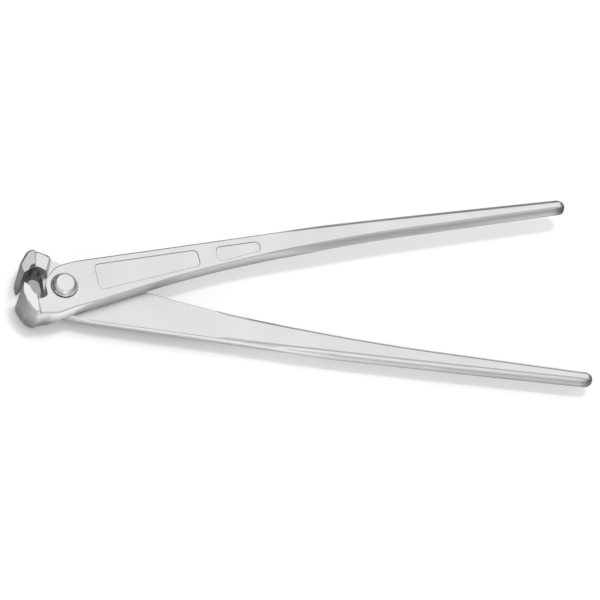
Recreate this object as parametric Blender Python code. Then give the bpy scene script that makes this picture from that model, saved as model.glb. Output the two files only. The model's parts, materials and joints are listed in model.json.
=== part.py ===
"""Rebar tying pliers: two drop-forged levers lapped over each other and held by one rivet.

Both levers follow one pattern. A lever is modelled with the tool closed: the pivot axis is
+Z through the origin, the jaws lie at -X, the handle runs to +X and curves to +Y. Its lap
face is the underside. The back lever is turned over about X. The jaws meet a little to the
front lever's side of the handles' middle line, so each head is set over by the same amount.
All sizes are in metres.
"""

import math

import bmesh
import bpy
import numpy
from mathutils import Vector
from mathutils.geometry import interpolate_bezier

# Overall sizes
HANDLE_REACH = 0.2780
JAW_REACH = 0.0210
HEAD_DEPTH = 0.0160
PLATE_THICKNESS = 0.0071
JAW_HALF_WIDTH = 0.0127
JAW_CORNER_HALF_WIDTH = 0.0087
REST_HALF_ANGLE = math.radians(7.0)

# Clearances between touching pieces
SEAT_GAP = 0.0003
EDGE_GAP = 0.0002
CUT_OVERRUN = 0.0020

# Handle: top edges along the reach, section and rounded tip
ROOT_SHARE = 0.062
HANDLE_SPREAD = 0.0170
ROOT_WIDTH = 0.0229
OUTER_EDGE_SHARES = ((0.062, 0.770), (0.227, 0.865), (0.414, 0.970), (0.597, 1.000), (0.780, 1.005),
                     (1.0, 1.000))
WIDTH_SHARES = ((0.062, 1.000), (0.227, 0.683), (0.414, 0.456), (0.597, 0.301), (0.780, 0.220),
                (1.0, 0.135))
HANDLE_STATIONS = 34
OUTER_ROOT_CROWN = 0.0012
INNER_ROOT_CROWN = 0.0008
HANDLE_CROWN = 0.0026
OUTER_CROWN_POWER = 1.8
INNER_CROWN_POWER = 1.4
SWELL_SHARES = (0.30, 0.52)
HANDLE_DROP = 0.0011
DROP_SHARES = (0.31, 0.48)
PARTING_SHARE = 0.5
TIP_LENGTH = 0.0042
TIP_STEPS = 6
TIP_LAST_ANGLE = math.radians(76)

# Levels up a lever's side, from its lap face to where its outer edge is rounded off
LEVEL_SHARES = (0.0, 0.035, 0.12, 0.30, 0.50, 0.70)
LAP_ROUND_LEVELS = (0.0, 0.035, 0.12)
LAP_ROUND_INSETS = (1.0, 0.29, 0.0)

# Rounded edges, and how low the rounding reaches where an edge is nearly sharp
HANDLE_ROUND = 0.0005
LAP_END_ROUND = 0.0004
EYE_ROUND = 0.0002
NECK_ROUND = 0.0010
JAW_ROUND = 0.0012
JAW_ROUND_SHARES = (0.25, 0.75)
LAP_ROUND_SHARES = (0.0, 0.062)
ROUND_MIN_HEIGHT = 0.0004
ROUND_ANGLES = [math.radians(angle) for angle in (0, 30, 60, 90)]

# Lap joint: round end of the plate, and the sloped wall of the neck that it turns past
LAP_RADIUS = 0.00945
LAP_START = math.radians(125)
LAP_END = math.radians(190)
LAP_STEPS = 11
LAP_LEAN = 0.0013
LAP_LEAN_SHARE = 0.6
WALL_FOOT_DISTANCE = 0.0086
WALL_TOP_DISTANCE = 0.0105
WALL_TURN = math.radians(9.5)
WALL_NEIGHBOUR = 0.0008
EYE_CORNER_SHARE = 0.07

# Shoulder of the plate above the joint, in shares of the lap radius and the shoulder's height
SHOULDER_SHARES = ((-1.322, 0.989), (-0.847, 0.969), (-0.318, 0.912), (0.022, 0.855), (0.307, 0.763))
PATH_STEPS = 3

# Jaw: eye, cutting edge, front face and outer corner
JAW_LIP = 0.0025
EYE_WALL = 0.00097
EYE_DROP = 0.0023
EYE_START = math.radians(-44)
EYE_END = math.radians(-177)
EYE_STEPS = 12
STEP_SET_BACK = 0.0005
STEP_RUN = 0.0014
STEP_NEIGHBOUR = 0.0003
FRONT_SHARES = ((1.190, 0.219), (1.131, 0.450), (0.980, 0.681), (0.719, 0.862), (0.358, 0.972))
CORNER_SHARE = (0.108, 0.996)
NECK_SHARES = ((1.028, 0.992), (0.881, 0.968), (0.686, 0.938), (0.455, 0.913), (0.140, 0.856),
               (-0.195, 0.781), (-0.560, 0.719), (-0.909, 0.662))
CORNER_CROWN = 0.0010
NECK_CROWN = 0.0013

# Set of the heads towards the front lever's side, and where along the jaw reach it comes in
HEAD_SET = 0.0017
FRONT_SET_SHARES = (0.33, 0.66)
BACK_SET_SHARES = (-0.30, 0.30)

# Rounding of the neck's outer corner beside the wall
NECK_END_DROP = 0.0012
NECK_END_REACH = 0.0055

# Hollow ground into the inner face of the jaw
SCOOP_SET_BACK = 0.0002
SCOOP_LENGTH_RADIUS = 0.0042
SCOOP_DEPTH = 0.0084
SCOOP_WIDTH_RADIUS = 0.0090
SCOOP_SEGMENTS = 28
SCOOP_RINGS = 18

# Rivet and its seat
SHANK_RADIUS = 0.0044
HEAD_RADIUS = 0.0066
HEAD_CROWN_RADIUS = 0.0044
HEAD_RISE = 0.0034
HEAD_SHOULDER_RISE = 0.0007
DOME_SHARES = ((0, 0), (0.14, 0.28), (0.36, 0.56), (0.66, 0.80), (1, 1))
SEAT_DEPTH = 0.0006
ROUND_SEGMENTS = 48

# Sunk panels on the outer face of the front lever
PANEL_DEPTH = 0.00035
PANEL_CORNER_STEPS = 5
PANEL_SET_BACK = 0.0105
LONG_PANEL_LENGTH = 0.0544
LONG_PANEL_START_SHARES = (0.148, 0.773)
LONG_PANEL_END_SHARES = (0.227, 0.840)
LONG_PANEL_CORNER = 0.0024
PANEL_SPACING = 0.0098
OVAL_PANEL_LENGTH = 0.0236
OVAL_PANEL_START_SHARES = (0.252, 0.872)
OVAL_PANEL_END_SHARES = (0.312, 0.774)
OVAL_PANEL_CORNER = 0.0026
CORNER_LIMIT_SHARE = 0.48

# Finish: bright zinc-coloured steel, base colour, metallic value and roughness
LEVER_FINISH = ((0.72, 0.73, 0.74, 1.0), 0.85, 0.36)
RIVET_FINISH = ((0.76, 0.77, 0.78, 1.0), 0.90, 0.28)


def clear_scene():
    for old in list(bpy.data.objects):
        bpy.data.objects.remove(old, do_unlink=True)


def smooth_path(points, steps):
    """Points on a smooth curve that passes through the given ones."""
    knots = [Vector(point) for point in points]
    before = knots[0] * 2 - knots[1]
    after = knots[-1] * 2 - knots[-2]
    padded = [before] + knots + [after]
    path = [knots[0]]
    for index in range(1, len(knots)):
        start, end = padded[index], padded[index + 1]
        leave = start + (end - padded[index - 1]) / 6
        arrive = end - (padded[index + 2] - start) / 6
        path.extend(interpolate_bezier(start, leave, arrive, end, steps + 1)[1:])
    return path


def curve_value(shares, place):
    """Height of the smooth curve through a table of shares, at one place along it."""
    path = smooth_path(shares, HANDLE_STATIONS)
    return float(numpy.interp(place, [point.x for point in path], [point.y for point in path]))


def ramp(place, shares):
    """Smooth rise from 0 to 1 between two places."""
    share = min(max((place - shares[0]) / (shares[1] - shares[0]), 0.0), 1.0)
    return share * share * (3 - 2 * share)


def round_steps(radius):
    """Depth below a face and inset from its side, for each step of a rounded edge going up."""
    height = max(radius, ROUND_MIN_HEIGHT)
    return [(height * (1 - math.sin(angle)), radius * (1 - math.cos(angle))) for angle in ROUND_ANGLES]


def lap_round(x, rise):
    """Inset of the handle's edge on the side of its lap face; there is none at the joint."""
    radius = HANDLE_ROUND * ramp(x / HANDLE_REACH, LAP_ROUND_SHARES)
    return radius * float(numpy.interp(rise, LAP_ROUND_LEVELS, LAP_ROUND_INSETS))


def outer_edge(x):
    return HANDLE_SPREAD * curve_value(OUTER_EDGE_SHARES, x / HANDLE_REACH)


def inner_edge(x):
    return outer_edge(x) - ROOT_WIDTH * curve_value(WIDTH_SHARES, x / HANDLE_REACH)


def arc(centre, radius, start, end, steps):
    """Points along an arc, both ends included."""
    points = []
    for index in range(steps + 1):
        angle = start + (end - start) * index / steps
        points.append(Vector((centre.x + radius * math.cos(angle), centre.y + radius * math.sin(angle))))
    return points


def crossing(path, measure):
    """First point on a path where the measure of its points passes zero, and the span it is on."""
    for index in range(len(path) - 1):
        low, high = measure(path[index]), measure(path[index + 1])
        if low * high <= 0 and low != high:
            return index, path[index].lerp(path[index + 1], low / (low - high))
    raise ValueError("the outline does not reach this place")


def wall_distance(point):
    """Distance of a point from the pivot, measured square to the neck's wall."""
    return -(point.x * math.cos(WALL_TURN) + point.y * math.sin(WALL_TURN))


def wall_point(distance, y):
    """Point of the wall line at this distance from the pivot, at height y."""
    return Vector((-(distance + y * math.sin(WALL_TURN)) / math.cos(WALL_TURN), y))


def eye_radius():
    """Radius that fills the space between the lap plate and the jaw's lip."""
    return (JAW_REACH - JAW_LIP - LAP_RADIUS - EYE_WALL) / (1 + math.cos(EYE_START))


def eye_x():
    return eye_radius() + JAW_LIP - JAW_REACH


def head_points(shares, start, length):
    """Points of the jaw or neck from shares of a length towards the jaw and of the head's depth."""
    return [Vector((-start - length * x_share, -HEAD_DEPTH * y_share)) for x_share, y_share in shares]


def insert_at(path, measure):
    """Adds a point to a path where the measure passes zero, and returns its place in the path."""
    index, point = crossing(path, measure)
    path.insert(index + 1, point)
    return index + 1


def insert_step(path, first_reach, second_reach):
    """Adds the two ends of the jaw's step to a path, side by side, and returns the first one's place."""
    first = insert_at(path, lambda point: point.x + first_reach)
    second = insert_at(path, lambda point: point.x + second_reach)
    del path[first + 1:second]
    if (path[first + 2] - path[first + 1]).length < STEP_NEIGHBOUR:
        del path[first + 2]
    if (path[first] - path[first - 1]).length < STEP_NEIGHBOUR:
        del path[first - 1]
        first -= 1
    return first


def set_over(points, head_set, shares):
    """Points of the head moved sideways by its set, which comes in along the jaw reach."""
    return [Vector((point.x, point.y + head_set * ramp(-point.x / JAW_REACH, shares))) for point in points]


class Outline:
    """The lever's outline round its head, from the handle's outer edge to its inner edge."""

    def __init__(self):
        self.points = []
        self.crowns = []
        self.leans = []
        self.powers = []
        self.rounds = []

    def add(self, points, crowns, leans, rounds, power=INNER_CROWN_POWER):
        """Adds points whose crown, lean and edge round each run evenly between two values."""
        last = max(len(points) - 1, 1)
        for index, point in enumerate(points):
            share = index / last
            self.points.append(point)
            self.crowns.append(crowns[0] + (crowns[1] - crowns[0]) * share)
            self.leans.append(leans[0] + (leans[1] - leans[0]) * share)
            self.rounds.append(rounds[0] + (rounds[1] - rounds[0]) * share)
            self.powers.append(power)

    def normal(self, index):
        """Outward direction at a point; the two ends face straight out of the handle's sides."""
        if index == 0:
            return Vector((0, 1))
        if index == len(self.points) - 1:
            return Vector((0, -1))
        along = self.points[index + 1] - self.points[index - 1]
        return Vector((along.y, -along.x)).normalized()

    def at_level(self, index, rise, inset=0):
        """Place of a point at a share of the way from the lap face to an outer face."""
        out = self.crowns[index] * (1 - rise ** self.powers[index]) - self.leans[index] * (1 - rise)
        return self.points[index] + self.normal(index) * (out - inset)

    def levels(self, index, span):
        """Rise and inset at each level of the side, with its outer edge rounded off."""
        x = self.points[index].x
        levels = [(rise, lap_round(x, rise)) for rise in LEVEL_SHARES]
        return levels + [(1 - below / span, inset) for below, inset in round_steps(self.rounds[index])]

    def column(self, index, start, end):
        """Points up the side at one place of the outline."""
        points = []
        for rise, inset in self.levels(index, abs(end - start)):
            place = self.at_level(index, rise, inset)
            points.append(Vector((place.x, place.y, start + (end - start) * rise)))
        return points


def make_outline(head_set, set_shares):
    """Outline of the head, and the places on it that the neck, wall and jaw step start from."""
    outline = Outline()
    pivot = Vector((0, 0))
    root_x = HANDLE_REACH * ROOT_SHARE

    shoulder_top = outer_edge(root_x)
    shoulder = [Vector((root_x, shoulder_top))]
    for x_share, y_share in SHOULDER_SHARES:
        shoulder.append(Vector((-LAP_RADIUS * x_share, shoulder_top * y_share)))
    lap_end = arc(pivot, LAP_RADIUS, LAP_START, LAP_END, LAP_STEPS)
    shoulder.append(lap_end[0])
    outline.add(smooth_path(shoulder, PATH_STEPS)[:-1], (OUTER_ROOT_CROWN, 0), (0, LAP_LEAN),
                (HANDLE_ROUND, LAP_END_ROUND), OUTER_CROWN_POWER)
    leaned = round(LAP_STEPS * LAP_LEAN_SHARE)
    outline.add(lap_end[:leaned], (0, 0), (LAP_LEAN, LAP_LEAN), (LAP_END_ROUND, LAP_END_ROUND))
    outline.add(lap_end[leaned:], (0, 0), (LAP_LEAN, 0), (LAP_END_ROUND, EYE_ROUND))
    outline.add([Vector((-LAP_RADIUS, -eye_radius() + EYE_WALL))], (0, 0), (0, 0), (EYE_ROUND, EYE_ROUND))

    eye = arc(Vector((eye_x(), -EYE_DROP)), eye_radius(), EYE_START, EYE_END, EYE_STEPS)
    eye = set_over(eye, head_set, set_shares)
    step_reach = STEP_SET_BACK - eye_x()
    places = {"eye": len(outline.points)}
    places["step_in"] = places["eye"] + insert_step(eye, step_reach, step_reach + STEP_RUN)
    places["rise_in"] = places["step_in"] + 1
    outline.add(eye, (0, 0), (0, 0), (EYE_ROUND, EYE_ROUND))

    edge = Vector((-JAW_REACH, -EDGE_GAP / 2))
    jaw_start = step_reach + STEP_RUN
    corner = head_points((CORNER_SHARE,), jaw_start, JAW_REACH - jaw_start)
    jaw_front = head_points(FRONT_SHARES, jaw_start, JAW_REACH - jaw_start)
    front = smooth_path([edge] + jaw_front + corner, PATH_STEPS)
    front = set_over(front, head_set, set_shares)
    outline.add(front[:-1], (0, CORNER_CROWN), (0, 0), (0, 0))

    root = Vector((root_x, inner_edge(root_x)))
    neck = smooth_path(corner + head_points(NECK_SHARES, 0, step_reach) + [root], PATH_STEPS)
    neck = set_over(neck, head_set, set_shares)
    places["rise_out"] = len(outline.points) + insert_step(neck, jaw_start, step_reach)
    places["step_out"] = places["rise_out"] + 1
    beyond = insert_at(neck, lambda point: wall_distance(point) - WALL_TOP_DISTANCE - WALL_NEIGHBOUR)
    wall_top = crossing(neck, lambda point: wall_distance(point) - WALL_TOP_DISTANCE)[1]
    foot = crossing(neck, lambda point: wall_distance(point) - WALL_FOOT_DISTANCE)[1]
    clear_of_foot = WALL_FOOT_DISTANCE - WALL_NEIGHBOUR
    after = [point for point in neck[beyond + 1:] if wall_distance(point) < clear_of_foot]
    neck = neck[:beyond + 1] + [foot] + after
    places["beyond"] = len(outline.points) + beyond
    outline.add(neck, (CORNER_CROWN, NECK_CROWN), (0, 0), (NECK_ROUND, HANDLE_ROUND))
    fade_crown(outline, places["beyond"])
    return outline, places, wall_top


def fade_crown(outline, first):
    """Runs the neck's crown down to the handle's, past the wall."""
    last = len(outline.points) - 1
    start = outline.crowns[first]
    for index in range(first, last + 1):
        share = (index - first) / (last - first)
        outline.crowns[index] = start + (INNER_ROOT_CROWN - start) * share


def head_depth_share(point, head_set):
    """How far a point of the head lies from the cutting edge, as a share of the head's depth."""
    return (head_set - point.y) / HEAD_DEPTH


def facet_height(point, head_set):
    """Half of the jaw's width where a point of its end face lies."""
    return JAW_HALF_WIDTH - (JAW_HALF_WIDTH - JAW_CORNER_HALF_WIDTH) * head_depth_share(point, head_set)


def handle_section(x, scale):
    """One ring round the handle: outer side going up, then inner side going down."""
    place = x / HANDLE_REACH
    bottom = SEAT_GAP / 2 - (HANDLE_DROP + SEAT_GAP / 2) * ramp(place, DROP_SHARES)
    top = PLATE_THICKNESS
    swell = ramp(place, SWELL_SHARES)
    parting = PARTING_SHARE * swell
    outer, inner = outer_edge(x), inner_edge(x)
    outer_crown = OUTER_ROOT_CROWN + (HANDLE_CROWN - OUTER_ROOT_CROWN) * swell
    inner_crown = INNER_ROOT_CROWN + (HANDLE_CROWN - INNER_ROOT_CROWN) * swell
    centre = Vector((x, (outer + inner) / 2, (top + bottom) / 2))
    levels = [(level, lap_round(x, level)) for level in LEVEL_SHARES]
    levels += [(1 - below / (top - bottom), inset) for below, inset in round_steps(HANDLE_ROUND)]
    ups, downs = [], []
    for level, inset in levels:
        if level >= parting:
            rise = (level - parting) / (1 - parting)
        else:
            rise = (parting - level) / parting
        outer_side = outer + outer_crown * (1 - rise ** OUTER_CROWN_POWER) - inset
        inner_side = inner - inner_crown * (1 - rise ** INNER_CROWN_POWER) + inset
        z = bottom + (top - bottom) * level
        ups.append(centre + (Vector((x, outer_side, z)) - centre) * scale)
        downs.append(centre + (Vector((x, inner_side, z)) - centre) * scale)
    return ups, downs


def handle_stations():
    """Places along the handle and the size of its section there, rounded off at the tip."""
    first = HANDLE_REACH * ROOT_SHARE
    last = HANDLE_REACH - TIP_LENGTH
    spacing = (last - first) / HANDLE_STATIONS
    stations = [(first + spacing * index, 1.0) for index in range(1, HANDLE_STATIONS + 1)]
    for index in range(1, TIP_STEPS + 1):
        angle = TIP_LAST_ANGLE * index / TIP_STEPS
        stations.append((last + TIP_LENGTH * math.sin(angle), math.cos(angle)))
    return stations


def bridge(mesh, low, high, closed):
    """Faces between two rows of points."""
    spans = len(low) if closed else len(low) - 1
    for index in range(spans):
        following = (index + 1) % len(low)
        mesh.faces.new((low[index], low[following], high[following], high[index]))


def make_levels(mesh, outline, start, end):
    """Rows of points up the plate's side, from the lap face to the outer face."""
    columns = [outline.column(index, start, end) for index in range(len(outline.points))]
    return [[mesh.verts.new(point) for point in row] for row in zip(*columns)]


def make_jaw_end(mesh, outline, row, first, places, head_set, side):
    """Raised end of the jaw beyond the step, on one outer face, rounded off at its outer corner."""
    rise_in, rise_out = places["rise_in"], places["rise_out"]
    columns = []
    for index in range(rise_in, rise_out + 1):
        point = outline.points[index]
        radius = JAW_ROUND * ramp(head_depth_share(point, head_set), JAW_ROUND_SHARES)
        column = []
        for below, inset in round_steps(radius):
            place = point - outline.normal(index) * inset
            column.append((place.x, place.y, side * (facet_height(place, head_set) - below)))
        columns.append(column)
    rows = [row[rise_in - first:rise_out - first + 1]]
    rows += [[mesh.verts.new(place) for place in level] for level in zip(*columns)]
    step_in = row[places["step_in"] - first]
    step_out = row[places["step_out"] - first]
    for low, high in zip(rows, rows[1:]):
        bridge(mesh, low, high, False)
        mesh.faces.new((step_in, low[0], high[0]))
        mesh.faces.new((step_out, high[-1], low[-1]))
    facet = rows[-1]
    mesh.faces.new((step_out, step_in, facet[0]))
    mesh.faces.new((step_out, facet[0], facet[-1]))
    mesh.faces.new(facet)


def make_handle(mesh, outer_root, inner_root):
    """Handle lofted from its root to the rounded tip."""
    outer_row, inner_row = outer_root, inner_root
    for x, scale in handle_stations():
        ups, downs = handle_section(x, scale)
        next_outer = [mesh.verts.new(point) for point in ups]
        next_inner = [mesh.verts.new(point) for point in downs]
        bridge(mesh, outer_row, next_outer, False)
        bridge(mesh, inner_row, next_inner, False)
        mesh.faces.new((outer_row[-1], next_outer[-1], next_inner[-1], inner_row[-1]))
        mesh.faces.new((outer_row[0], next_outer[0], next_inner[0], inner_row[0]))
        outer_row, inner_row = next_outer, next_inner
    mesh.faces.new(outer_row + inner_row[::-1])


def neck_end_drop(point, wall_top, level):
    """How far the neck's outer side is rounded off at a point, towards the outer face."""
    nearness = max(1 - (point - wall_top).length / NECK_END_REACH, 0.0)
    return NECK_END_DROP * (nearness * level) ** 2


def neck_columns(outline, first, beyond, wall_top, outer_foot):
    """Points up the neck's side from the eye round to the wall, and up the two ends of the wall."""
    lap_z = SEAT_GAP / 2
    eye_start = outline.points[first]
    inner_foot = wall_point(WALL_FOOT_DISTANCE, eye_start.y)
    inner_top = wall_point(WALL_TOP_DISTANCE, eye_start.y)
    eye_top = inner_top.lerp(outline.points[first + 1], EYE_CORNER_SHARE)
    along_wall = Vector((-math.sin(WALL_TURN), math.cos(WALL_TURN)))
    outer_top = wall_top + Vector((0, neck_end_drop(wall_top, wall_top, 1)))
    eye_column, outer_column, inner_column = [], [], []
    for rise, inset in outline.levels(beyond, PLATE_THICKNESS + lap_z):
        height = Vector((0, 0, lap_z - (PLATE_THICKNESS + lap_z) * rise))
        outer = outer_foot.lerp(outer_top, rise) + along_wall * inset
        eye_column.append(eye_start.lerp(eye_top, rise).to_3d() + height)
        outer_column.append(outer.to_3d() + height)
        inner_column.append(inner_foot.lerp(inner_top, rise).to_3d() + height)
    columns = [eye_column]
    for index in range(first + 1, beyond + 1):
        column = outline.column(index, lap_z, -PLATE_THICKNESS)
        for point in column:
            rise = (lap_z - point.z) / (lap_z + PLATE_THICKNESS)
            point.y += neck_end_drop(outline.points[index], wall_top, rise)
        columns.append(column)
    return columns + [outer_column, inner_column]


def make_neck(mesh, outline, places, wall_top, head_set, lap_row):
    """Full-thickness neck and jaw below the lap face, with the sloped wall beside the joint."""
    first, beyond = places["eye"], places["beyond"]
    outer_foot = lap_row[beyond + 1]
    columns = neck_columns(outline, first, beyond, wall_top, outer_foot.co.to_2d())
    levels = list(zip(*columns))
    wall_corner = mesh.verts.new(levels[0][-1])
    rows = [lap_row[first:beyond + 1] + [outer_foot, wall_corner]]
    rows += [[mesh.verts.new(point) for point in level] for level in levels[1:]]
    for low, high in zip(rows, rows[1:]):
        bridge(mesh, low, high, True)
    bottom = rows[-1]
    neck_face = bottom[:places["step_in"] - first + 1] + bottom[places["step_out"] - first:]
    mesh.faces.new(neck_face)
    make_jaw_end(mesh, outline, bottom, first, places, head_set, -1)
    return wall_corner


def forge_lever(head_set, set_shares):
    """Mesh of one forging: plate, handle, neck and jaw, in one closed skin."""
    outline, places, wall_top = make_outline(head_set, set_shares)
    mesh = bmesh.new()
    rows = make_levels(mesh, outline, SEAT_GAP / 2, PLATE_THICKNESS)
    for low, high in zip(rows, rows[1:]):
        bridge(mesh, low, high, False)
    top = rows[-1]
    mesh.faces.new(top[:places["step_in"] + 1] + top[places["step_out"]:])
    make_jaw_end(mesh, outline, top, 0, places, head_set, 1)
    make_handle(mesh, [row[0] for row in rows], [row[-1] for row in rows])
    lap_row = rows[0]
    wall_corner = make_neck(mesh, outline, places, wall_top, head_set, lap_row)
    mesh.faces.new(lap_row[:places["eye"] + 1] + [wall_corner] + lap_row[places["beyond"] + 1:])
    bmesh.ops.recalc_face_normals(mesh, faces=mesh.faces)
    return finish_mesh(mesh, "lever_forging")


def finish_mesh(mesh, name):
    """Turns the working mesh into data with smooth round faces and sharp edges."""
    data = bpy.data.meshes.new(name)
    mesh.to_mesh(data)
    mesh.free()
    data.shade_smooth()
    data.set_sharp_from_angle(angle=math.radians(32))
    return data


def turned_mesh(profile, name):
    """Closed solid turned about Z from a profile of radius and height, from axis to axis."""
    mesh = bmesh.new()
    points = [mesh.verts.new((radius, 0, height)) for radius, height in profile]
    for first, second in zip(points, points[1:]):
        mesh.edges.new((first, second))
    bmesh.ops.spin(mesh, geom=mesh.verts[:] + mesh.edges[:], cent=(0, 0, 0), axis=(0, 0, 1),
                   angle=math.tau, steps=ROUND_SEGMENTS, use_merge=True)
    bmesh.ops.remove_doubles(mesh, verts=mesh.verts, dist=EDGE_GAP / 100)
    bmesh.ops.recalc_face_normals(mesh, faces=mesh.faces)
    return finish_mesh(mesh, name)


def rivet_mesh():
    """Solid rivet with a shank and two formed heads with flat crowns."""
    underside = PLATE_THICKNESS - SEAT_DEPTH + SEAT_GAP
    shoulder = PLATE_THICKNESS + HEAD_SHOULDER_RISE
    crown = PLATE_THICKNESS + HEAD_RISE
    upper = [(SHANK_RADIUS, underside), (HEAD_RADIUS, underside)]
    for in_share, up_share in DOME_SHARES:
        radius = HEAD_RADIUS + (HEAD_CROWN_RADIUS - HEAD_RADIUS) * in_share
        upper.append((radius, shoulder + (crown - shoulder) * up_share))
    upper.append((0, crown))
    lower = [(radius, -height) for radius, height in reversed(upper)]
    return turned_mesh(lower + upper, "rivet")


def seat_cutter_mesh():
    """Cutter for the rivet's bore and for the sunk seats of its two heads."""
    bore = SHANK_RADIUS + SEAT_GAP
    seat = HEAD_RADIUS + SEAT_GAP
    floor = PLATE_THICKNESS - SEAT_DEPTH
    end = PLATE_THICKNESS + CUT_OVERRUN
    upper = [(bore, floor), (seat, floor), (seat, end), (0, end)]
    lower = [(radius, -height) for radius, height in reversed(upper)]
    return turned_mesh(lower + upper, "seat_cutter")


def scoop_mesh(head_set):
    """Ellipsoid that hollows the inner face of the jaw."""
    mesh = bmesh.new()
    bmesh.ops.create_uvsphere(mesh, u_segments=SCOOP_SEGMENTS, v_segments=SCOOP_RINGS, radius=1)
    radii = Vector((SCOOP_LENGTH_RADIUS, SCOOP_DEPTH, SCOOP_WIDTH_RADIUS))
    bmesh.ops.scale(mesh, vec=radii, verts=mesh.verts)
    bmesh.ops.translate(mesh, vec=(eye_x() - SCOOP_SET_BACK, head_set, 0), verts=mesh.verts)
    return finish_mesh(mesh, "scoop")


def rounded_corner(corner, before, after, radius):
    """Points of a round corner between two straight sides."""
    to_before = (before - corner).normalized()
    to_after = (after - corner).normalized()
    half = to_before.angle(to_after) / 2
    set_back = radius / math.tan(half)
    centre = corner + (to_before + to_after).normalized() * radius / math.sin(half)
    start, end = corner + to_before * set_back - centre, corner + to_after * set_back - centre
    points = []
    for index in range(PANEL_CORNER_STEPS + 1):
        share = index / PANEL_CORNER_STEPS
        points.append(centre + start.slerp(end, share) * radius)
    return points


def across(x, share):
    """Point of the flat top face at a share of the way from its outer to its inner edge."""
    return Vector((x, outer_edge(x) + (inner_edge(x) - outer_edge(x)) * share))


def panel_mesh(name, start, end, start_shares, end_shares, corner_radius):
    """Cutter for a sunk panel that tapers with the handle's flat top face."""
    corners = [across(start, start_shares[0]), across(start, start_shares[1]),
               across(end, end_shares[1]), across(end, end_shares[0])]
    shortest = min((corners[1] - corners[0]).length, (corners[3] - corners[2]).length)
    radius = min(corner_radius, shortest * CORNER_LIMIT_SHARE)
    mesh = bmesh.new()
    base = []
    for index, corner in enumerate(corners):
        before, after = corners[index - 1], corners[(index + 1) % len(corners)]
        for point in rounded_corner(corner, before, after, radius):
            base.append(mesh.verts.new((point.x, point.y, PLATE_THICKNESS - PANEL_DEPTH)))
    floor = mesh.faces.new(base)
    grown = bmesh.ops.extrude_face_region(mesh, geom=[floor])
    lifted = [item for item in grown["geom"] if isinstance(item, bmesh.types.BMVert)]
    bmesh.ops.translate(mesh, vec=(0, 0, PANEL_DEPTH + CUT_OVERRUN), verts=lifted)
    bmesh.ops.recalc_face_normals(mesh, faces=mesh.faces)
    return finish_mesh(mesh, name)


def make_material(name, finish):
    colour, metallic, roughness = finish
    material = bpy.data.materials.new(name)
    material.use_nodes = True
    shader = material.node_tree.nodes["Principled BSDF"]
    shader.inputs["Base Color"].default_value = colour
    shader.inputs["Metallic"].default_value = metallic
    shader.inputs["Roughness"].default_value = roughness
    return material


def add_piece(name, data, parent, finish=None):
    """Adds an object under its parent, with its own material when it is a real piece."""
    item = bpy.data.objects.new(name, data)
    bpy.context.scene.collection.objects.link(item)
    item.parent = parent
    if finish:
        item.data.materials.append(make_material(name + "_steel", finish))
    return item


def cut(item, cutter):
    """Cuts one piece with a cutter that is left out of the model."""
    cutter.hide_render = True
    cutter.display_type = "WIRE"
    modifier = item.modifiers.new(cutter.name, "BOOLEAN")
    modifier.operation = "DIFFERENCE"
    modifier.solver = "EXACT"
    modifier.object = cutter


def make_lever(name, pivot, turn, head_set, set_shares, seat_cutter):
    lever = add_piece(name, forge_lever(head_set, set_shares), pivot, LEVER_FINISH)
    lever.rotation_euler = turn
    cut(lever, add_piece(name + "_scoop", scoop_mesh(head_set), lever))
    cut(lever, seat_cutter)
    return lever


def sink_panels(lever):
    long_start = HEAD_RADIUS + SEAT_GAP + PANEL_SET_BACK
    long_end = long_start + LONG_PANEL_LENGTH
    oval_start = long_end + PANEL_SPACING
    oval_end = oval_start + OVAL_PANEL_LENGTH
    long_panel = panel_mesh("long_panel", long_start, long_end, LONG_PANEL_START_SHARES,
                            LONG_PANEL_END_SHARES, LONG_PANEL_CORNER)
    oval_panel = panel_mesh("oval_panel", oval_start, oval_end, OVAL_PANEL_START_SHARES,
                            OVAL_PANEL_END_SHARES, OVAL_PANEL_CORNER)
    cut(lever, add_piece("long_panel", long_panel, lever))
    cut(lever, add_piece("oval_panel", oval_panel, lever))


def centre_over_origin(pivot, levers):
    """Moves the pivot so that the origin lies under the middle of the tool, where it rests."""
    bpy.context.view_layer.update()
    corners = []
    for lever in levers:
        corners.extend(lever.matrix_world @ vertex.co for vertex in lever.data.vertices)
    low = [min(corner[axis] for corner in corners) for axis in range(3)]
    high = [max(corner[axis] for corner in corners) for axis in range(3)]
    pivot.location = (-(low[0] + high[0]) / 2, -(low[1] + high[1]) / 2, -low[2])


def main():
    clear_scene()
    pivot = add_piece("pivot", None, None)
    seat_cutter = add_piece("seat_cutter", seat_cutter_mesh(), pivot)
    front_turn, back_turn = (0, 0, REST_HALF_ANGLE), (math.pi, 0, -REST_HALF_ANGLE)
    front = make_lever("front_lever", pivot, front_turn, HEAD_SET, FRONT_SET_SHARES, seat_cutter)
    sink_panels(front)
    back = make_lever("back_lever", pivot, back_turn, -HEAD_SET, BACK_SET_SHARES, seat_cutter)
    add_piece("pivot_rivet", rivet_mesh(), pivot, RIVET_FINISH)
    centre_over_origin(pivot, (front, back))


main()
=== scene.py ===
"""Looks of the tying pliers: the finish of the two forged levers and the rivet, and a studio stage."""

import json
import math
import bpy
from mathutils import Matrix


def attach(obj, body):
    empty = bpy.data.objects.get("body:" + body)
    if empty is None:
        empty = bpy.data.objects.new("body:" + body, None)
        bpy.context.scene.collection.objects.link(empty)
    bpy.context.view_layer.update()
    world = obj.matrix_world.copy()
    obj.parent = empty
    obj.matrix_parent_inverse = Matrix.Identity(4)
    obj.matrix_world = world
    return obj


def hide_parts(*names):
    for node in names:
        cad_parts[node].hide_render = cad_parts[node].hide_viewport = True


bl_info = {
    "name": "Tying pliers finish",
    "version": (1, 0, 0),
    "blender": (4, 5, 0),
    "location": "3D View > Sidebar > Pliers",
    "description": "Finishes the forged levers and the rivet of a pair of tying pliers and lights them",
    "category": "Object",
}

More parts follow.
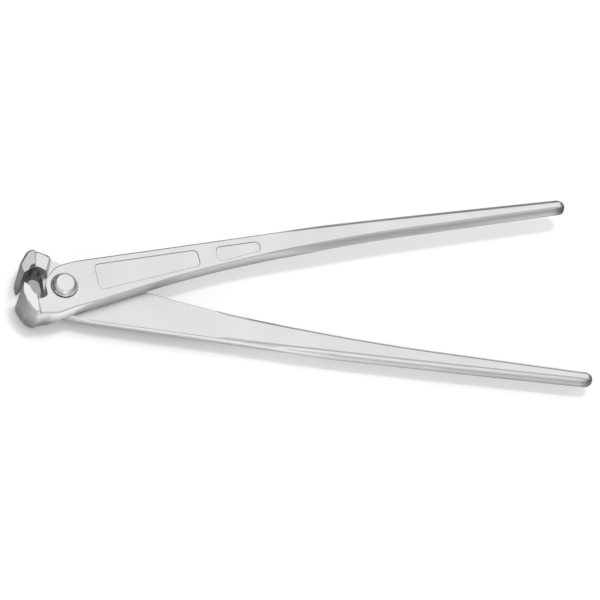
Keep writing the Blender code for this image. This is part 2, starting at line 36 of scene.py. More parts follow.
import bmesh
import bpy
from mathutils import Matrix, Vector

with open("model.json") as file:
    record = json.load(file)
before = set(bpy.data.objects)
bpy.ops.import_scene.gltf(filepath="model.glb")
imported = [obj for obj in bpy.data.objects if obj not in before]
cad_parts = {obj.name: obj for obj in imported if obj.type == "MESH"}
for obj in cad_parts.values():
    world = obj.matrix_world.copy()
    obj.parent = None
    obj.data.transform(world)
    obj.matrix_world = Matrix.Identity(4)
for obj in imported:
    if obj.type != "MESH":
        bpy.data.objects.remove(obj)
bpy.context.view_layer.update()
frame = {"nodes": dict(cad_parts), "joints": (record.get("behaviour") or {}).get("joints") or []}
JOINT = frame["joints"][0]
PIVOT = Vector(JOINT["pos_m"])
HALF_ANGLE = -math.radians(JOINT["range_deg"][0]) / 2

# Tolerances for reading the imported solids
MERGE_DISTANCE = 0.00001
FLAT_LIMIT = math.radians(0.05)
EDGE_CORNER = math.radians(40)
QUAD_LIMIT = math.radians(40)
LEVEL_TOLERANCE = 0.00005
PANEL_TOLERANCE = LEVEL_TOLERANCE / 5
# How much large faces outweigh small ones in the smoothed normals, where 50 is neutral
AREA_WEIGHT = 100

# Places on a lever, in its own frame: X along its handle from the pivot, Y from its jaw's outer side
# towards the eye, Z out of its outer face from the plane between the levers
PLATE_TOP = 0.0071
PANEL_FLOOR = 0.00675
PANEL_LIP = PLATE_TOP - LEVEL_TOLERANCE * 2
SEAT_RADIUS = 0.0070
RIVET_FOOT = PLATE_TOP + LEVEL_TOLERANCE * 4
JAW_START = -0.0157
EYE_FRONT = -0.0165
EYE_START = -0.0095
EYE_DEPTH = -0.0075
WALL_START = -0.0125
WALL_END = -0.0060
HOOD_START = -0.0245
HOOD_DEPTH = -0.0125
HOOD_HEIGHT = 0.0062
SCOOP_MIDDLE = Vector((-0.0150, 0.0))
SCOOP_RADIUS = 0.0078
TIP_PART = 0.20
# How far along each handle its painted dark far edge goes, and the length over which it fades
ROOT_ENDS = {"front_lever": 0.120, "back_lever": 0.080}
ROOT_FADE = 0.060

# How much a face leans from the lever's plane, and how tall a face of a rounded edge is at most
EDGE_LEAST_TILT = math.radians(8)
EDGE_MOST_TILT = math.radians(38)
FLANK_TILT = math.radians(50)
GROUND_TILT = math.radians(20)
EDGE_FACE_HEIGHT = 0.00062
# Rings of faces that are looked through across the rounded edge of a sunk panel
PANEL_RINGS = 5
# How far a face's normal points along the lever's X, for the jaw's front and the eye's wall, and along
# its Y, for the outer side of the jaw
FRONT_FACING = -0.3
WALL_FACING = 0.5
SIDE_FACING = -0.4
# Shares of the painted dark edge colour: a painted dark reflection along the rounded edges and panel rims
NEAR_PAINTED_DARK_EDGE = 0.35
RIM_PAINTED_DARK_EDGE = 0.65
FAR_PAINTED_DARK_EDGE = 1.0

# Heights of the feet of the flanks' painted shade from the joint's middle plane, how far up the shade
# fades, and the share of it that is left along the handle
PAINTED_FLANK_SHADES = {"front_lever": (-0.0008, 0.0062, 0.75), "back_lever": (-0.0080, 0.0078, 2.1)}
# Along the tool's own X: where the flanks' painted shade comes in, where it goes over to the share that is
# left, and where the painted dark reflection on the tips comes in
SHADE_IN = (-0.1540, -0.1340)
SHADE_OVER = (-0.0450, 0.0250)
TIP_PAINTED_DARK = (0.1390, 0.1468)

# The coating: scales of its patches and grain, their detail, its roughness, and the grain's bump
PATCH_SCALE = 35
GRAIN_SCALE = 2500
NOISE_DETAIL = 3
SMOOTHEST = 0.24
ROUGHEST = 0.34
BUMP_STRENGTH = 0.06
BUMP_DISTANCE = 0.0001

COLOUR = "NodeSocketColor"
NUMBER = "NodeSocketFloat"
WHITE = (1, 1, 1, 1)
WHOLE = (0.0, 1.0)


class PliersShape(bpy.types.PropertyGroup):
    """Sizes of the fine edges that the finished pieces have."""

    panel_edge: bpy.props.FloatProperty(
        name="Panel edge", description="Round of the edges of the sunk panels",
        default=0.00017, unit="LENGTH")
    edge_steps: bpy.props.IntProperty(
        name="Edge steps", description="Faces across each rounded edge", default=2, min=1)
    smooth_angle: bpy.props.FloatProperty(
        name="Smooth angle", description="Steepest turn that is still shown as one smooth surface",
        default=math.radians(34), subtype="ANGLE")


class PliersFinish(bpy.types.PropertyGroup):
    """Colours of the steel, with painted shades and painted dark reflections on it."""

    steel: bpy.props.FloatVectorProperty(
        name="Steel", description="Light colour of the coated steel",
        subtype="COLOR", size=4, default=(0.815, 0.815, 0.815, 1.0))
    shade: bpy.props.FloatVectorProperty(
        name="Steel shade", description="Colour of the duller patches in the coating",
        subtype="COLOR", size=4, default=(0.705, 0.705, 0.705, 1.0))
    ground: bpy.props.FloatVectorProperty(
        name="Ground steel", description="Colour of the ground jaw faces",
        subtype="COLOR", size=4, default=(0.91, 0.91, 0.91, 1.0))
    # Painted dark reflection along the rounded edges and panel rims
    edge: bpy.props.FloatVectorProperty(
        name="Edge", description="Colour along the rounded edges, where the coating is thin",
        subtype="COLOR", size=4, default=(0.05, 0.05, 0.05, 1.0))
    # Painted shade at the feet of the flanks, next to the other lever and the floor
    foot: bpy.props.FloatVectorProperty(
        name="Foot", description="Colour at the foot of the flanks, next to the other lever or the floor",
        subtype="COLOR", size=4, default=(0.30, 0.30, 0.30, 1.0))
    # Painted dark reflection on the sides of the handle tips
    tip: bpy.props.FloatVectorProperty(
        name="Tip", description="Colour of the sides of the handle tips, dulled by handling",
        subtype="COLOR", size=4, default=(0.14, 0.14, 0.14, 1.0))
    # Oil and painted shade in the seam round the rivet and in the rivet's seat
    seam: bpy.props.FloatVectorProperty(
        name="Seam", description="Colour of the oily seam round the rivet",
        subtype="COLOR", size=4, default=(0.10, 0.10, 0.10, 1.0))
    # Painted shade inside the eye, on its walls, lap, scoop and hood
    eye: bpy.props.FloatVectorProperty(
        name="Eye", description="Colour of the dull forged faces inside the eye",
        subtype="COLOR", size=4, default=(0.40, 0.40, 0.40, 1.0))
    rivet: bpy.props.FloatVectorProperty(
        name="Rivet", description="Colour of the rivet",
        subtype="COLOR", size=4, default=(0.83, 0.83, 0.83, 1.0))


class PliersStage(bpy.types.PropertyGroup):
    """Floor, lamps and camera."""

    floor: bpy.props.FloatVectorProperty(
        name="Floor", description="Colour of the floor", subtype="COLOR", size=4,
        default=(0.80, 0.80, 0.80, 1.0))
    floor_size: bpy.props.FloatProperty(
        name="Floor size", description="Side of the floor", default=12.0, unit="LENGTH")
    floor_shadow: bpy.props.FloatProperty(
        name="Floor shadow", description="How much of its shadow the floor shows", subtype="FACTOR",
        default=0.55, min=0.0, max=1.0)
    floor_light: bpy.props.FloatProperty(
        name="Floor light", description="Light on the open floor, in the lamps as they are set",
        default=0.92)
    # Painted contact shade on the floor near the tool
    contact_reach: bpy.props.FloatProperty(
        name="Contact reach", description="How near the tool has to be for the floor's contact shade",
        default=0.012, unit="LENGTH")
    painted_contact_light: bpy.props.FloatProperty(
        name="Contact light", description="Light left on the floor where the contact shade is deepest",
        subtype="FACTOR", default=0.55, min=0.0, max=1.0)
    # Painted glow of the floor where the steel mirrors it
    painted_floor_glow: bpy.props.FloatProperty(
        name="Floor glow", description="How much the floor glows where the steel mirrors it",
        subtype="FACTOR", default=0.12, min=0.0, max=1.0)
    room_top: bpy.props.FloatProperty(
        name="Room overhead", description="Brightness of the room overhead", default=0.83)
    room_side: bpy.props.FloatProperty(
        name="Room sides", description="Brightness of the room towards the horizon", default=0.18)
    top_box: bpy.props.FloatProperty(
        name="Top softbox", description="Power of the large lamp overhead", default=1.9, unit="POWER")
    front_box: bpy.props.FloatProperty(
        name="Front softbox", description="Power of the low lamp in front", default=0.75, unit="POWER")
    shadow_box: bpy.props.FloatProperty(
        name="Shadow lamp", description="Power of the small far lamp that gives the floor its shadow",
        default=22.0, unit="POWER")
    camera_place: bpy.props.FloatVectorProperty(
        name="Camera place", description="Where the camera stands, from the joint",
        subtype="TRANSLATION", unit="LENGTH", default=(-0.312164, -0.667894, 1.293922))
    camera_turn: bpy.props.FloatVectorProperty(
        name="Camera turn", description="Turn of the camera about the three axes", subtype="EULER",
        default=(math.radians(28.1448), math.radians(-14.7750), math.radians(-7.7172)))
    camera_shift: bpy.props.FloatProperty(
        name="Camera shift", description="Sideways shift of the frame, as a share of its width",
        default=0.0011)
    camera_lens: bpy.props.FloatProperty(
        name="Camera lens", description="Focal length", default=180.0, unit="CAMERA")


# Directions from the tool to its lamps, their distances and their two sides
TOP_BOX = (Vector((0.30, 0.52, 0.86)), 1.3, (1.7, 1.5))
FRONT_BOX = (Vector((0.02, -0.90, 0.42)), 1.3, (0.70, 0.6))
SHADOW_BOX = (Vector((0.08, 0.11, 1.0)), 2.5, (0.30, 0.30))
# Direction of the room's light middle, and the cosines from it where the room is dark and light
ROOM_MIDDLE = Vector((0.0, -0.2, 1.0))
ROOM_LIGHTENS = (0.05, 0.80)
FLOOR_ROUGHNESS = 0.9
# Painted shade on the floor under the eye: its middle, the distances between which it ends, and its light
# there
PAINTED_SHADE_UNDER_EYE = (Vector((-0.1385, 0.0080, 0.0)), (0.0065, 0.0110), (0.68, 1.0))
# Directions in which the floor is painted darker or lighter where the steel mirrors it, where along them,
# and from what light to what
BEHIND = (Vector((-0.122, 0.993, 0.0)), (0.030, 0.052), (1.0, 0.75))
BETWEEN = (Vector((0.0, 1.0, 0.0)), (-0.032, 0.010), (1.05, 0.58))
ALONG = (Vector((1.0, 0.0, 0.0)), (0.0, 0.14), (1.0, 0.74))
BESIDE = (Vector((-1.0, 0.0, 0.0)), (0.112, 0.155), (1.0, 0.46))
# Open share of the sky over the floor between which its painted contact shade goes from full to none
CONTACT_RANGE = (0.35, 0.90)
# Along the floor's X, where this shade grows weaker, and the light that is left in it from there on
CONTACT_WEAKER = (-0.085, -0.010)
CONTACT_FAR_LIGHT = 0.84
# Along the floor's Y, where this shade ends, as the floor is seen behind the tool
CONTACT_BEHIND = (-0.004, 0.006)
CONTACT_SAMPLES = 16
CAMERA_NEAR = 0.05
CAMERA_FAR = 10


def lever_frame(back):
    """Frame of a lever: origin on the pivot, X along its handle, Z out of its outer face."""
    place = Matrix.Translation(PIVOT)
    if back:
        return place @ Matrix.Rotation(-HALF_ANGLE, 4, "Z") @ Matrix.Rotation(math.pi, 4, "X")
    return place @ Matrix.Rotation(HALF_ANGLE, 4, "Z")


def deselect_all():
    if bpy.context.mode != "OBJECT":
        bpy.ops.object.mode_set(mode="OBJECT")
    bpy.ops.object.select_all(action="DESELECT")


def make_active(piece):
    deselect_all()
    piece.select_set(True)
    bpy.context.view_layer.objects.active = piece


def copy_node(node, name):
    """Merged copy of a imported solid, its flat faces whole again and its sides in four-cornered faces."""
    source = frame["nodes"][node]
    piece = bpy.data.objects.new(name, source.data.copy())
    bpy.context.scene.collection.objects.link(piece)
    piece.data.materials.clear()
    make_active(piece)
    bpy.ops.mesh.customdata_custom_splitnormals_clear()
    bpy.ops.object.mode_set(mode="EDIT")
    bpy.ops.mesh.select_all(action="SELECT")
    bpy.ops.mesh.remove_doubles(threshold=MERGE_DISTANCE)
    bpy.ops.mesh.mark_sharp(clear=True)
    bpy.ops.mesh.dissolve_limited(angle_limit=FLAT_LIMIT)
    bpy.ops.mesh.tris_convert_to_quads(face_threshold=QUAD_LIMIT, shape_threshold=QUAD_LIMIT)
    bpy.ops.object.mode_set(mode="OBJECT")
    return piece


def on_panel(edge, to_lever):
    """Whether an edge belongs to a sunk panel: one of its faces is the panel's wall or floor."""
    for face in edge.link_faces:
        heights = [(to_lever @ vertex.co).z for vertex in face.verts]
        low, high = min(heights), max(heights)
        if PANEL_FLOOR - LEVEL_TOLERANCE < low < PANEL_LIP:
            if (to_lever @ face.calc_center_median()).x > SEAT_RADIUS and high - low < LEVEL_TOLERANCE:
                return True
            if abs(low - PANEL_FLOOR) < LEVEL_TOLERANCE and abs(high - PLATE_TOP) < LEVEL_TOLERANCE:
                return True
    return False


def round_edges(piece, width, steps, chosen):
    """Rounds the sharp edges that are chosen."""
    mesh = bmesh.new()
    mesh.from_mesh(piece.data)
    layer = mesh.edges.layers.float.new("bevel_weight_edge")
    for edge in mesh.edges:
        if len(edge.link_faces) == 2 and edge.calc_face_angle() > EDGE_CORNER and chosen(edge):
            edge[layer] = 1.0
    mesh.to_mesh(piece.data)
    mesh.free()
    make_active(piece)
    bevel = piece.modifiers.new("edges", "BEVEL")
    bevel.limit_method = "WEIGHT"
    bevel.width = width
    bevel.segments = steps
    bevel.use_clamp_overlap = False
    bpy.ops.object.modifier_apply(modifier=bevel.name)


def smooth_faces(piece, angle):
    """Smooths round surfaces and keeps flat faces flat."""
    make_active(piece)
    bpy.ops.object.shade_smooth_by_angle(angle=angle)
    normals = piece.modifiers.new("normals", "WEIGHTED_NORMAL")
    normals.weight = AREA_WEIGHT
    normals.keep_sharp = True
    bpy.ops.object.modifier_apply(modifier=normals.name)


def panel_rim(piece, to_lever):
    """Indices of the faces between the floors of the sunk panels and the outer face round them."""
    levels = [(to_lever @ vertex.co).z for vertex in piece.data.vertices]
    faces = piece.data.polygons

    def lies_at(face, level):
        return all(abs(levels[index] - level) < PANEL_TOLERANCE for index in face.vertices)

    reached = set()
    for face in faces:
        if (to_lever @ face.center).x > SEAT_RADIUS and lies_at(face, PANEL_FLOOR):
            reached.update(face.vertices)
    rim = set()
    for _ in range(PANEL_RINGS):
        found = [face for face in faces if face.index not in rim and reached.intersection(face.vertices)
                 and not lies_at(face, PANEL_FLOOR) and not lies_at(face, PLATE_TOP)]
        for face in found:
            rim.add(face.index)
            reached.update(face.vertices)
    return rim


def add_face_mask(piece, name, value_of):
    """Stores a value for each face of the piece."""
    attribute = piece.data.attributes.new(name, "FLOAT", "FACE")
    attribute.data.foreach_set("value", [value_of(face) for face in piece.data.polygons])


def finish_piece(piece, node, body, material):
    """Gives a piece its material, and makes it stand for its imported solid."""
    piece.data.materials.append(material)
    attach(piece, body)
    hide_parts(node)


def make_lever(node, name, body, back):
    """One lever, with the edges of its panels rounded and a mask on its faces for each finish and each
    painted shade.
    """
    shape = bpy.context.scene.pliers_shape
    to_lever = lever_frame(back).inverted()
    turn = to_lever.to_3x3()
    piece = copy_node(node, name)
    if not back:
        round_edges(piece, shape.panel_edge, shape.edge_steps, lambda edge: on_panel(edge, to_lever))
    smooth_faces(piece, shape.smooth_angle)
    points = piece.data.vertices
    rim = set() if back else panel_rim(piece, to_lever)

    def tilt(face):
        return math.acos(min(abs((turn @ face.normal).z), 1.0))

    def heights(face):
        return [(to_lever @ points[index].co).z for index in face.vertices]

    # Share of the painted dark reflection on a face of a rounded edge or panel rim
    def painted_dark_edge_value(face):
        middle = to_lever @ face.center
        levels = heights(face)
        if face.index in rim:
            return RIM_PAINTED_DARK_EDGE
        inside_eye = middle.x < EYE_START and middle.y > EYE_DEPTH
        low_enough = max(levels) - min(levels) < EDGE_FACE_HEIGHT
        if not low_enough or inside_eye or tilt(face) < EDGE_LEAST_TILT:
            return 0.0
        if face.normal.y > 0 and EYE_START < middle.x < ROOT_ENDS[node]:
            left = min((ROOT_ENDS[node] - middle.x) / ROOT_FADE, 1.0)
            return FAR_PAINTED_DARK_EDGE * left if tilt(face) < FLANK_TILT else 0.0
        return NEAR_PAINTED_DARK_EDGE if tilt(face) < EDGE_MOST_TILT else 0.0

    def ground_value(face):
        middle = to_lever @ face.center
        return float(middle.x < JAW_START and abs(middle.z) > PLATE_TOP and tilt(face) < GROUND_TILT)

    # Faces of the rivet's seat below the outer face: oil and painted shade
    def seam_oil_and_shade_value(face):
        near = all((to_lever @ points[index].co).xy.length < SEAT_RADIUS for index in face.vertices)
        return float(near and min(heights(face)) < PLATE_TOP - LEVEL_TOLERANCE)

    # Painted shade on the faces inside the eye
    def eye_shade_value(face):
        middle = to_lever @ face.center
        facing = (turn @ face.normal).x
        jaw_front = middle.x < EYE_FRONT and facing < FRONT_FACING
        if tilt(face) < EDGE_LEAST_TILT or ground_value(face) or jaw_front:
            return 0.0
        if WALL_START < middle.x < WALL_END and tilt(face) > FLANK_TILT and facing > WALL_FACING:
            return 1.0
        lap = EYE_FRONT < middle.x < WALL_END and middle.y > EYE_DEPTH and abs(middle.z) < PLATE_TOP
        scoop = (middle.xy - SCOOP_MIDDLE).length < SCOOP_RADIUS and middle.y > EYE_DEPTH
        hood = HOOD_START < middle.x < EYE_START and middle.y > HOOD_DEPTH and abs(middle.z) < HOOD_HEIGHT
        return float(lap or scoop or hood)

    def flank_value(face):
        jaw_side = not back and (turn @ face.normal).y < SIDE_FACING
        placed = (to_lever @ face.center).x > EYE_START or jaw_side
        return float(placed and tilt(face) > FLANK_TILT and not seam_oil_and_shade_value(face))

    def tip_dark_value(face):
        return float((to_lever @ face.center).x > TIP_PART and tilt(face) > EDGE_MOST_TILT)

    for mask, value_of in (("edge", painted_dark_edge_value), ("ground", ground_value), ("seam", seam_oil_and_shade_value),
                           ("eye", eye_shade_value), ("flank", flank_value), ("tip", tip_dark_value)):
        add_face_mask(piece, mask, value_of)
    foot, fall, kept = PAINTED_FLANK_SHADES[node]
    finish_piece(piece, node, body, lever_material(node, PIVOT.z + foot, fall, kept))


def feed(tree, node, values):
    """Sets sockets of a node: another node's output is linked to it, any other value is written in."""
    for socket, value in values.items():
        if isinstance(value, bpy.types.NodeSocket):
            tree.links.new(value, node.inputs[socket])
        else:
            node.inputs[socket].default_value = value


def add_math(tree, operation, *values, clamped=False):
    """Number that an operation on its values gives."""
    node = tree.nodes.new("ShaderNodeMath")
    node.operation = operation
    node.use_clamp = clamped
    feed(tree, node, dict(enumerate(values)))
    return node.outputs["Value"]


def add_product(tree, first, *others):
    """Product of two or more numbers."""
    for other in others:
        first = add_math(tree, "MULTIPLY", first, other)
    return first


def add_range(tree, value, reach, levels=WHOLE, smooth=True):
    """Number that goes from the first level to the second while the value goes through its reach."""
    node = tree.nodes.new("ShaderNodeMapRange")
    if smooth:
        node.interpolation_type = "SMOOTHSTEP"
    feed(tree, node, {"Value": value, "From Min": reach[0], "From Max": reach[1],
                      "To Min": levels[0], "To Max": levels[1]})
    return node.outputs["Result"]


def add_fade(tree, place, operation, vector, reach, levels):
    """Number that fades by how far a place is from a point, or how far it lies along a direction."""
    node = tree.nodes.new("ShaderNodeVectorMath")
    node.operation = operation
    feed(tree, node, {0: place, 1: vector})
    return add_range(tree, node.outputs["Value"], reach, levels)


def add_colour_mix(tree, factor, under, over):
    """Colour that goes from one to the other with the factor."""
    node = tree.nodes.new("ShaderNodeMix")
    node.data_type = "RGBA"
    feed(tree, node, {"Factor": factor, "A": under, "B": over})
    return node.outputs["Result"]


def add_noise(tree, place, scale):
    node = tree.nodes.new("ShaderNodeTexNoise")
    feed(tree, node, {"Vector": place, "Scale": scale, "Detail": NOISE_DETAIL})
    return node.outputs["Fac"]


def add_place(tree):
    """The point's place on its own piece."""
    return tree.nodes.new("ShaderNodeTexCoord").outputs["Object"]


def add_split(tree, vector):
    """The parts of a vector, by their names X, Y and Z."""
    node = tree.nodes.new("ShaderNodeSeparateXYZ")
    feed(tree, node, {"Vector": vector})
    return node.outputs


def add_mask(tree, name):
    """Value of a mask that is stored on the piece's faces."""
    node = tree.nodes.new("ShaderNodeAttribute")
    node.attribute_name = name
    return node.outputs["Fac"]


def add_group(tree, group, values):
    """Places a shader group with its own values, and returns its outputs."""
    node = tree.nodes.new("ShaderNodeGroup")
    node.node_tree = group
    feed(tree, node, values)
    return node.outputs


def new_group(name, inputs, outputs):
    """Shader group with named sockets, what is given to it, and its end."""
    group = bpy.data.node_groups.new(name, "ShaderNodeTree")
    for socket, kind in inputs.items():
        group.interface.new_socket(socket, in_out="INPUT", socket_type=kind)
    for socket, kind in outputs.items():
        group.interface.new_socket(socket, in_out="OUTPUT", socket_type=kind)
    return group, group.nodes.new("NodeGroupInput").outputs, group.nodes.new("NodeGroupOutput")


def steel_group():
    """Blasted and coated steel: patches of sheen, fine grain and a height for the bump."""
    if "coated_steel" in bpy.data.node_groups:
        return bpy.data.node_groups["coated_steel"]
    group, given, end = new_group(
        "coated_steel",
        {"Light": COLOUR, "Dull": COLOUR, "Patch Scale": NUMBER, "Grain Scale": NUMBER,
         "Smoothest": NUMBER, "Roughest": NUMBER},
        {"Color": COLOUR, "Roughness": NUMBER, "Height": NUMBER})
    place = add_place(group)
    patches = add_noise(group, place, given["Patch Scale"])
    levels = (given["Smoothest"], given["Roughest"])
    feed(group, end, {
        "Color": add_colour_mix(group, patches, given["Light"], given["Dull"]),
        "Roughness": add_range(group, patches, WHOLE, levels, smooth=False),
        "Height": add_noise(group, place, given["Grain Scale"])})
    return group


def painted_flank_shade_group():
    """Colour of a flank with painted shade: the shade is full at the foot and fades upwards. Along the
    tool it comes in over the jaws and goes over to the share that is kept on the handle."""
    if "painted_flank_shade" in bpy.data.node_groups:
        return bpy.data.node_groups["painted_flank_shade"]
    group, given, end = new_group(
        "painted_flank_shade",
        {"Foot": NUMBER, "Fall": NUMBER, "Kept": NUMBER, "Flank": NUMBER, "Light": COLOUR,
         "Shade": COLOUR},
        {"Color": COLOUR})
    place = add_split(group, add_place(group))
    above = add_math(group, "SUBTRACT", place["Z"], given["Foot"])
    risen = add_math(group, "DIVIDE", above, given["Fall"], clamped=True)
    shade = add_product(
        group, add_math(group, "SUBTRACT", 1.0, risen), given["Flank"],
        add_range(group, place["X"], SHADE_IN),
        add_range(group, place["X"], SHADE_OVER, (1.0, given["Kept"])))
    feed(group, end, {"Color": add_colour_mix(group, shade, given["Light"], given["Shade"])})
    return group


def over_mask(tree, mask, under, over, share=None):
    """Colour that goes over to another where a mask is set, or by a share of the mask if one is given."""
    factor = add_mask(tree, mask)
    if share is not None:
        factor = add_product(tree, factor, share)
    return add_colour_mix(tree, factor, under, over)


def new_material(name):
    """Material, its node tree and its shader."""
    material = bpy.data.materials.new(name)
    material.use_nodes = True
    return material, material.node_tree, material.node_tree.nodes["Principled BSDF"]


def steel_material(name, light, dull):
    """Coated steel with its grain as a bump. Also returns the steel's colour, not yet on the shader."""
    material, tree, shader = new_material(name)
    steel = add_group(tree, steel_group(), {
        "Light": light, "Dull": dull, "Patch Scale": PATCH_SCALE, "Grain Scale": GRAIN_SCALE,
        "Smoothest": SMOOTHEST, "Roughest": ROUGHEST})
    bump = tree.nodes.new("ShaderNodeBump")
    feed(tree, bump, {"Strength": BUMP_STRENGTH, "Distance": BUMP_DISTANCE, "Height": steel["Height"]})
    feed(tree, shader, {
        "Metallic": 1.0, "Roughness": steel["Roughness"], "Normal": bump.outputs["Normal"]})
    return material, tree, shader, steel["Color"]


def lever_material(node, foot, fall, kept):
    """Steel of a lever: painted shade on flanks, eye and seam, oil at the seam, painted dark reflection on
    edges and tips, and the ground faces' own colour.
    """
    finish = bpy.context.scene.pliers_finish
    material, tree, shader, colour = steel_material(node + "_steel", finish.steel, finish.shade)
    # Painted shade on the flanks, darkest at their feet
    colour = add_group(tree, painted_flank_shade_group(), {
        "Foot": foot, "Fall": fall, "Kept": kept, "Flank": add_mask(tree, "flank"),
        "Light": colour, "Shade": finish.foot})["Color"]
    # Painted dark reflection along the rounded edges and panel rims
    colour = over_mask(tree, "edge", colour, finish.edge)
    # Painted dark reflection on the sides of the tips, growing towards their ends
    darkened = add_range(tree, add_split(tree, add_place(tree))["X"], TIP_PAINTED_DARK)
    colour = over_mask(tree, "tip", colour, finish.tip, darkened)
    # Ground jaw faces in their own colour; painted shade inside the eye; oil and painted shade at the seam
    for mask, over in (("ground", finish.ground), ("eye", finish.eye), ("seam", finish.seam)):
        colour = over_mask(tree, mask, colour, over)
    feed(tree, shader, {"Base Color": colour})
    return material


class PLIERS_OT_front_lever(bpy.types.Operator):
    """Finishes the front lever."""

    bl_idname = "pliers.front_lever"
    bl_label = "Front lever"

    def execute(self, context):
        make_lever("front_lever", "front_lever_finished", "front", False)
        return {"FINISHED"}


class PLIERS_OT_back_lever(bpy.types.Operator):
    """Finishes the back lever."""

    bl_idname = "pliers.back_lever"
    bl_label = "Back lever"

    def execute(self, context):
        make_lever("back_lever", "back_lever_finished", "back", True)
        return {"FINISHED"}


class PLIERS_OT_rivet(bpy.types.Operator):
    """Finishes the rivet."""

    bl_idname = "pliers.rivet"
    bl_label = "Rivet"

    def execute(self, context):
        finish = context.scene.pliers_finish
        piece = copy_node("pivot_rivet", "pivot_rivet_finished")
        smooth_faces(piece, context.scene.pliers_shape.smooth_angle)
        # Oil and painted shade on the rivet's foot, at its seam
        add_face_mask(piece, "seam", lambda face: float(abs(face.center.z - PIVOT.z) < RIVET_FOOT))
        material, tree, shader, colour = steel_material("rivet_steel", finish.rivet, finish.shade)
        feed(tree, shader, {"Base Color": over_mask(tree, "seam", colour, finish.seam)})
        finish_piece(piece, "pivot_rivet", "front", material)
        return {"FINISHED"}


class PLIERS_OT_stage(bpy.types.Operator):
    """Adds the floor, the lamps and the camera."""

    bl_idname = "pliers.stage"
    bl_label = "Stage"

    def execute(self, context):
        stage = context.scene.pliers_stage
        context.scene.view_settings.view_transform = "Standard"
        make_floor(stage)
        make_room(stage)
        make_softbox("top_softbox", stage.top_box, *TOP_BOX).visible_diffuse = False
        make_softbox("front_softbox", stage.front_box, *FRONT_BOX)
        make_softbox("shadow_lamp", stage.shadow_box, *SHADOW_BOX).visible_glossy = False
        make_camera(stage)
        return {"FINISHED"}


def painted_contact_light(tree, place, stage):
    """Light left on the floor under a painted contact shade where the tool is near. It is least under the
    jaws, more under the handles, and whole on the floor that is seen behind the tool."""
    parts = add_split(tree, place)
    weaker = add_range(tree, parts["X"], CONTACT_WEAKER, (stage.painted_contact_light, CONTACT_FAR_LIGHT))
    least = add_math(tree, "MAXIMUM", weaker, add_range(tree, parts["Y"], CONTACT_BEHIND))
    near = tree.nodes.new("ShaderNodeAmbientOcclusion")
    near.samples = CONTACT_SAMPLES
    feed(tree, near, {"Distance": stage.contact_reach})
    return add_range(tree, near.outputs["AO"], CONTACT_RANGE, (least, 1.0), smooth=False)


def make_floor(stage):
    """Floor that is white to the camera, apart from the tool's shadow, a painted contact shade and a
    painted shade under the eye, and pale in the steel, with painted darker places and a painted glow
    there.
    """
    deselect_all()
    bpy.ops.mesh.primitive_plane_add(size=stage.floor_size, location=(0, 0, 0))
    floor = bpy.context.active_object
    floor.name = "floor"
    material, tree, shader = new_material("pale_floor")
    path = tree.nodes.new("ShaderNodeLightPath").outputs
    place = add_place(tree)

    painted_shade_under_eye = add_fade(tree, place, "DISTANCE", *PAINTED_SHADE_UNDER_EYE)
    light = add_product(tree, painted_shade_under_eye, painted_contact_light(tree, place, stage))
    # Painted reflections: the floor as the steel mirrors it, darker or lighter by place, with a painted
    # glow
    painted_floor_reflection = add_product(tree, *(
        add_fade(tree, place, "DOT_PRODUCT", *side) for side in (BEHIND, BETWEEN, ALONG, BESIDE)))
    mirrored = add_math(tree, "MAXIMUM", path["Is Glossy Ray"], path["Is Transmission Ray"])
    pale = add_colour_mix(tree, mirrored, stage.floor, painted_floor_reflection)
    shown = add_product(tree, light, stage.floor_shadow / stage.floor_light)
    glow = add_product(tree, path["Is Camera Ray"], light, 1 - stage.floor_shadow)
    painted_glow_in_steel = add_product(tree, painted_floor_reflection, stage.painted_floor_glow)
    feed(tree, shader, {
        "Base Color": add_colour_mix(tree, path["Is Camera Ray"], pale, shown),
        "Roughness": FLOOR_ROUGHNESS,
        "Specular IOR Level": 0.0,
        "Emission Color": WHITE,
        "Emission Strength": add_math(tree, "MULTIPLY_ADD", painted_glow_in_steel, mirrored, glow)})
    floor.data.materials.append(material)


def make_room(stage):
    """A light room that is darker towards the horizon; the camera sees it white."""
    world = bpy.data.worlds.new("studio")
    bpy.context.scene.world = world
    world.use_nodes = True
    tree = world.node_tree
    generated = tree.nodes.new("ShaderNodeTexCoord").outputs["Generated"]
    level = add_fade(tree, generated, "DOT_PRODUCT", ROOM_MIDDLE.normalized(), ROOM_LIGHTENS,
                     (stage.room_side, stage.room_top))
    path = tree.nodes.new("ShaderNodeLightPath").outputs
    strength = tree.nodes.new("ShaderNodeMix")
    feed(tree, strength, {"Factor": path["Is Camera Ray"], "A": level, "B": 1.0})
    feed(tree, tree.nodes["Background"], {"Color": WHITE, "Strength": strength.outputs["Result"]})


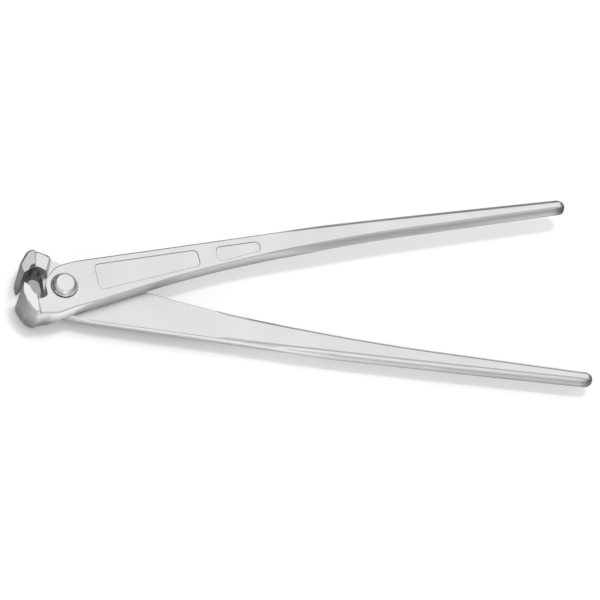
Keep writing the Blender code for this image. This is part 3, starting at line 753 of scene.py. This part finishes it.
def make_softbox(name, power, direction, distance, sides):
    """Rectangular lamp that faces the tool from a distance."""
    lamp = bpy.data.lights.new(name, "AREA")
    lamp.shape = "RECTANGLE"
    lamp.size, lamp.size_y = sides
    lamp.energy = power
    softbox = bpy.data.objects.new(name, lamp)
    bpy.context.scene.collection.objects.link(softbox)
    direction = direction.normalized()
    softbox.location = direction * distance
    softbox.rotation_euler = direction.to_track_quat("Z", "Y").to_euler()
    return softbox


def make_camera(stage):
    """Camera at the photograph's angle, placed from the joint."""
    camera = bpy.data.cameras.new("camera")
    camera.lens = stage.camera_lens
    camera.shift_x = stage.camera_shift
    camera.clip_start = CAMERA_NEAR
    camera.clip_end = CAMERA_FAR
    holder = bpy.data.objects.new("camera", camera)
    bpy.context.scene.collection.objects.link(holder)
    holder.location = PIVOT + Vector(stage.camera_place)
    holder.rotation_euler = stage.camera_turn
    bpy.context.scene.camera = holder


class PLIERS_PT_sidebar(bpy.types.Panel):
    """Buttons and values for the pliers."""

    bl_idname = "PLIERS_PT_sidebar"
    bl_label = "Pliers"
    bl_space_type = "VIEW_3D"
    bl_region_type = "UI"
    bl_category = "Pliers"

    def draw(self, context):
        layout = self.layout
        for operator in OPERATORS:
            layout.operator(operator.bl_idname)
        scene = context.scene
        for settings in (scene.pliers_shape, scene.pliers_finish, scene.pliers_stage):
            box = layout.box()
            for name in settings.__annotations__:
                box.prop(settings, name)


OPERATORS = (PLIERS_OT_front_lever, PLIERS_OT_back_lever, PLIERS_OT_rivet, PLIERS_OT_stage)
SETTINGS = {"pliers_shape": PliersShape, "pliers_finish": PliersFinish, "pliers_stage": PliersStage}


def register():
    for settings in SETTINGS.values():
        bpy.utils.register_class(settings)
    for operator in OPERATORS:
        bpy.utils.register_class(operator)
    bpy.utils.register_class(PLIERS_PT_sidebar)
    for name, settings in SETTINGS.items():
        setattr(bpy.types.Scene, name, bpy.props.PointerProperty(type=settings))


def unregister():
    for name in SETTINGS:
        delattr(bpy.types.Scene, name)
    bpy.utils.unregister_class(PLIERS_PT_sidebar)
    for operator in reversed(OPERATORS):
        bpy.utils.unregister_class(operator)
    for settings in reversed(SETTINGS.values()):
        bpy.utils.unregister_class(settings)


def main():
    register()
    bpy.ops.pliers.front_lever()
    bpy.ops.pliers.back_lever()
    bpy.ops.pliers.rivet()
    bpy.ops.pliers.stage()


if __name__ == "__main__":
    main()
